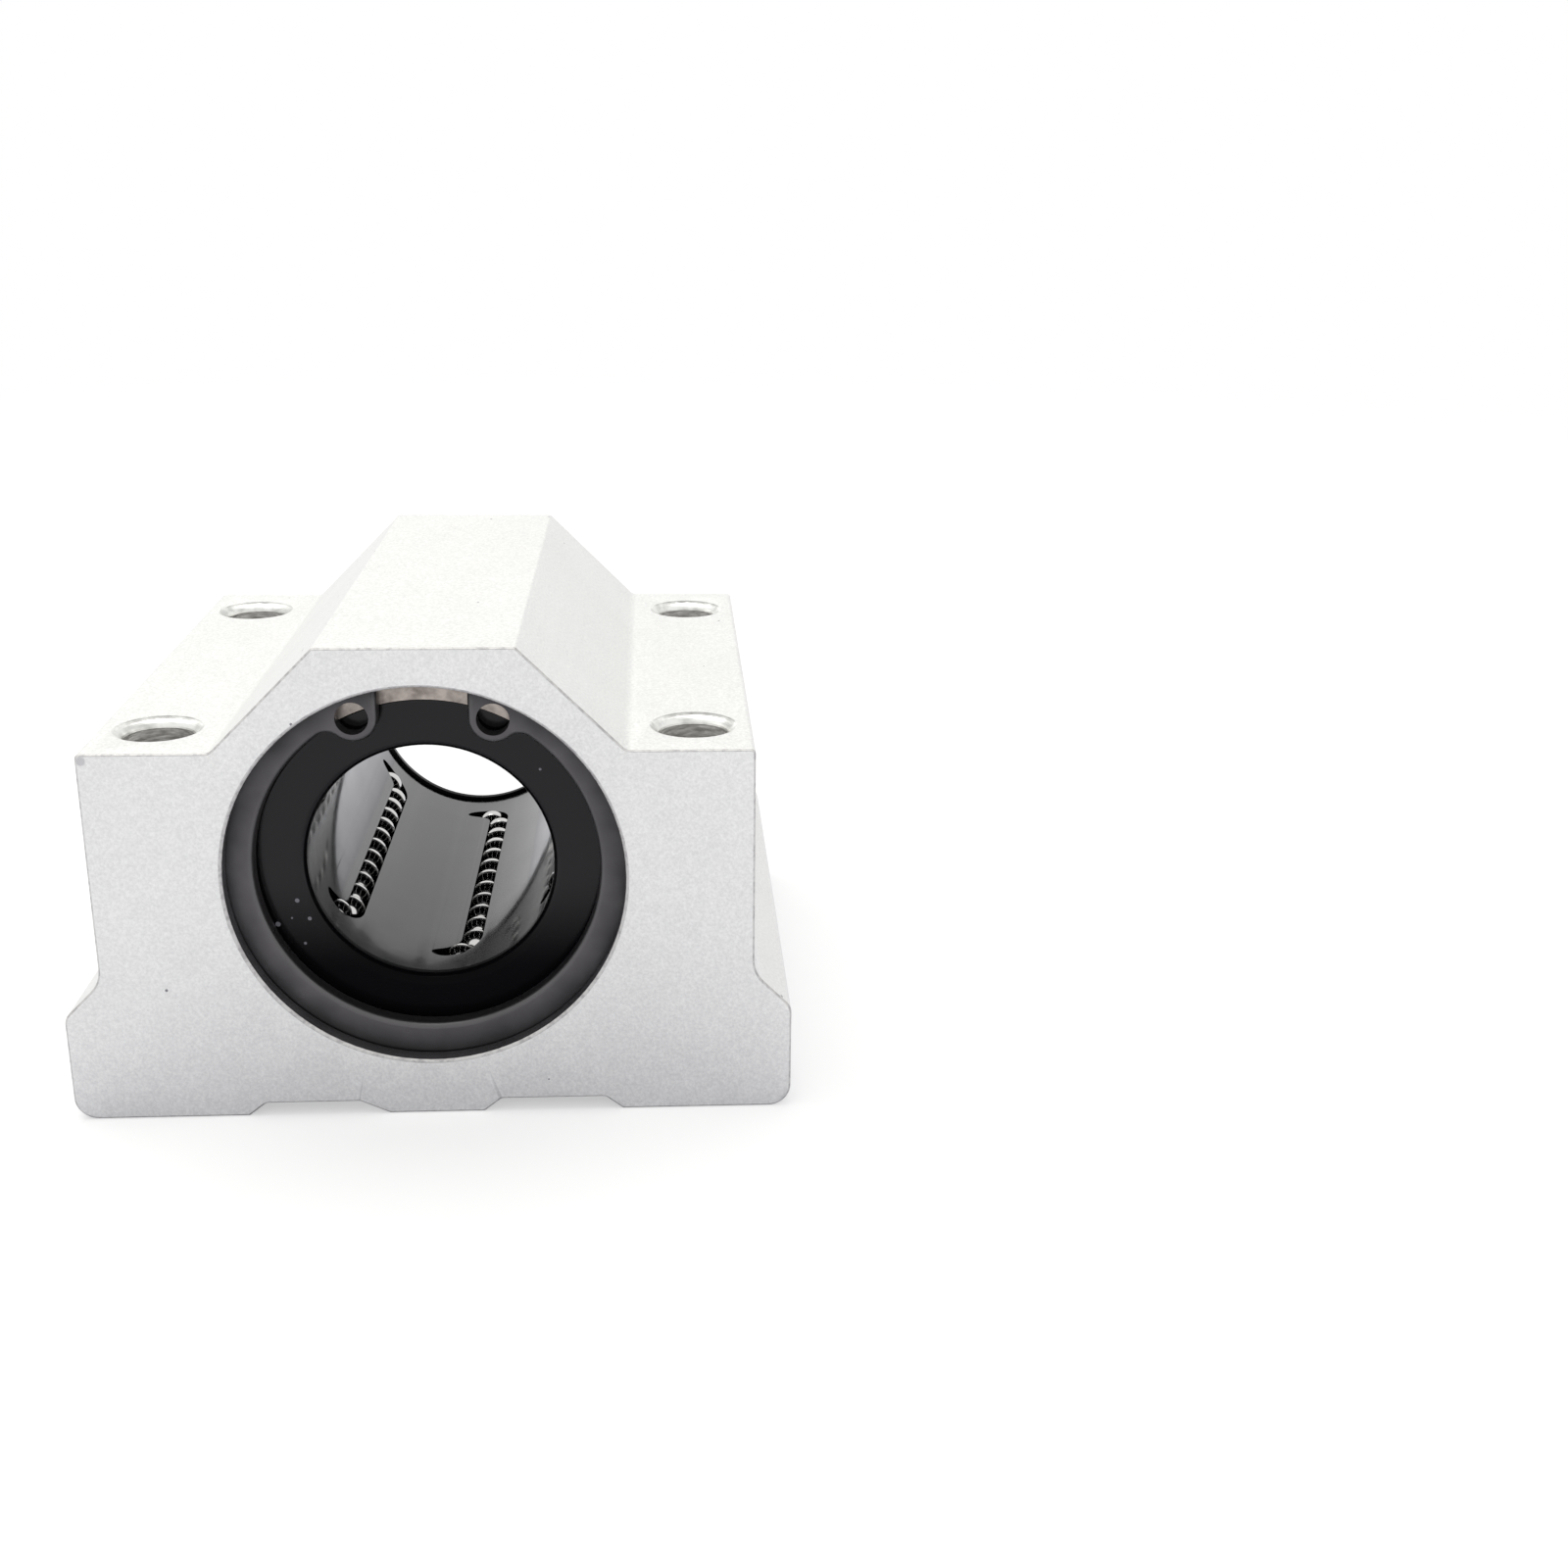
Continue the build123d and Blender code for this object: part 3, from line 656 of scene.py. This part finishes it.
def soft_lamp():
    """A square soft lamp that looks at the block."""
    light = bpy.data.lights.new("key", "AREA")
    light.size = LAMP_SIZE
    light.energy = LAMP_POWER
    light.color = linear("#FFFEFA")[:3]
    lamp_object = bpy.data.objects.new("key", light)
    lamp_object.location = LAMP_PLACE
    lamp_object.rotation_euler = (LAMP_TARGET - LAMP_PLACE).to_track_quat("-Z", "Y").to_euler()
    bpy.context.scene.collection.objects.link(lamp_object)


def camera():
    """The camera, at the photograph's angle."""
    data = bpy.data.cameras.new("camera")
    data.lens = CAMERA_LENS
    data.clip_start = 1 * MM
    view = bpy.data.objects.new("camera", data)
    back = -CAMERA_FORWARD.normalized()
    right = CAMERA_UP.cross(back).normalized()
    up = back.cross(right)
    turn = Matrix((right, up, back)).transposed().to_4x4()
    view.matrix_world = Matrix.Translation(CAMERA_PLACE) @ turn
    bpy.context.scene.collection.objects.link(view)
    bpy.context.scene.camera = view


aluminium = bead_blasted_aluminium()
housing = smooth_piece("housing", aluminium, "housing_aluminium")
hole_wall = drilled_aluminium()
mark_cut_faces(housing, turned_aluminium(), hole_wall, broken_edge(), bored_aluminium())

smooth_piece("bearing_sleeve", ground_steel(), "bearing_steel")
smooth_piece("ball_cage", acetal_resin(), "cage_resin")
rubber = nitrile_rubber()
ring_steel = phosphated_steel()
wire = rolled_wire()
for end in ("front", "rear"):
    smooth_piece(end + "_seal", rubber, "seal_rubber")
    ring = smooth_piece(end + "_snap_ring", ring_steel, "snap_ring_steel", turned=False)
    mark_rolled_edge(ring)
    smooth_piece(end + "_cage_ring", wire, "spring_wire")

balls = ball_tree()
ball_steel = polished_steel()
for circuit in range(1, 7):
    for row in ("load", "return"):
        cad_name = f"{row}_balls_{circuit}"
        piece = built_by(balls, cad_name + "_polished", ball_centres(cad_name),
                         {"Ball Radius": BALL_RADIUS, "Surface": ball_steel})
        place_piece(piece, "ball_steel", cad_name)

hole_feet = bpy.data.meshes.new("hole_feet")
feet = [(x * HOLE_ACROSS, y * HOLE_ALONG, THREAD_START) for x in (-1, 1) for y in (-1, 1)]
hole_feet.from_pydata(feet, [], [])
threads = built_by(thread_tree(), "tapped_threads", hole_feet, {
    "Outer Radius": THREAD_RADIUS, "Crest Radius": THREAD_CREST_RADIUS, "Pitch": THREAD_PITCH,
    "Length": THREAD_END - THREAD_START, "Surface": hole_wall})
place_piece(threads, "housing_aluminium")

pale_floor()
white_surround()
soft_lamp()
camera()
bpy.context.scene.view_settings.view_transform = "Standard"
